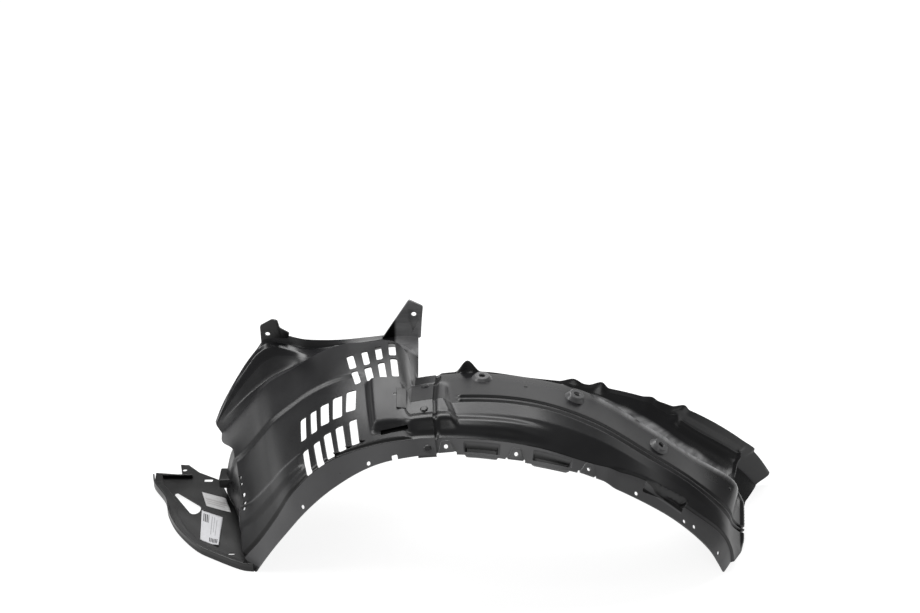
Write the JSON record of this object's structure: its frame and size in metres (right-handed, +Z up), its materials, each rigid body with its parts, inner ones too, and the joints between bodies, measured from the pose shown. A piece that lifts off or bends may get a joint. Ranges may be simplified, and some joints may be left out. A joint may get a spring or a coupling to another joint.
{
  "type": "wheel arch liner",
  "caption": "Two moulded plastic shells riveted into an arch that lines a car's wheel housing, with louvre slots, clip bosses, fixing ears and a tray at the front foot.",
  "frame": {"origin": "middle of the bounding box in plan, at the floor that the liner stands on", "axes": "+Z up, +X from the front foot towards the rear foot of the arch, +Y inboard from the fender edge"},
  "size_m": [1.0198, 0.3314, 0.3063],
  "materials": {
    "front_plastic": "satin black",
    "rear_plastic": "satin black",
    "rivet_plastic": "matte black",
    "label_grey": "matte paper",
    "label_white": "matte paper"
  },
  "bodies": {
    "root": {"front_section": "front_plastic", "rear_section": "rear_plastic", "seam_rivets": "rivet_plastic", "parts_label": "label_grey", "shipping_label": "label_white"}
  },
  "joints": []
}
